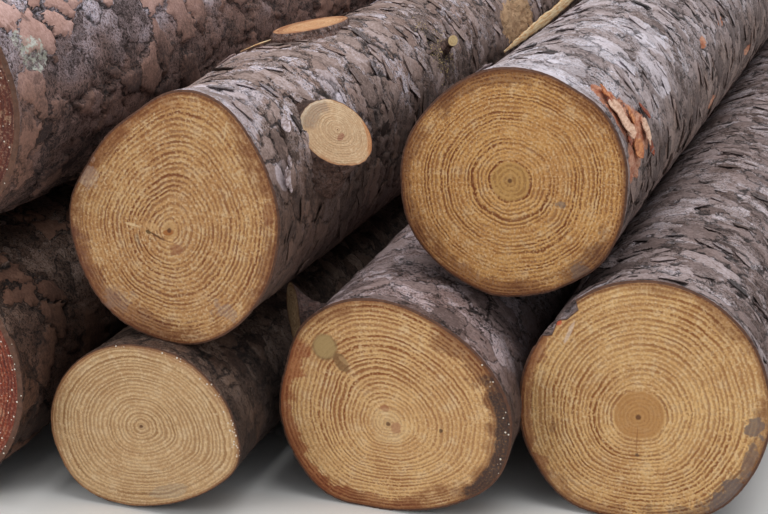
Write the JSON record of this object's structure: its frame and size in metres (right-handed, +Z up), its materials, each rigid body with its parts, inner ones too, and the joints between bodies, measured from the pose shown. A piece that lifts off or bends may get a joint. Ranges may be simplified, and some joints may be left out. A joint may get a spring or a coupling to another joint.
{
  "type": "stack of logs",
  "caption": "Stack of freshly sawn pine logs with bark on, lying side by side in two rows, some with sawn branch stubs.",
  "frame": {"origin": "on the ground, at the middle of the stack's footprint", "axes": "+Y runs along the logs, from their front saw cuts to their back ones, +X is to the right seen from the front, and +Z is up"},
  "size_m": [1.274, 2.699, 0.7191],
  "materials": {
    "rough_bark": "rough",
    "dark_bark": "rough",
    "grey_bark": "rough"
  },
  "bodies": {
    "root": {"bottom_log_1": "rough_bark", "bottom_log_2": "dark_bark", "bottom_log_3": "dark_bark", "bottom_log_4": "dark_bark", "top_log_1": "rough_bark", "top_log_2": "grey_bark", "top_log_3": "grey_bark"}
  },
  "joints": []
}
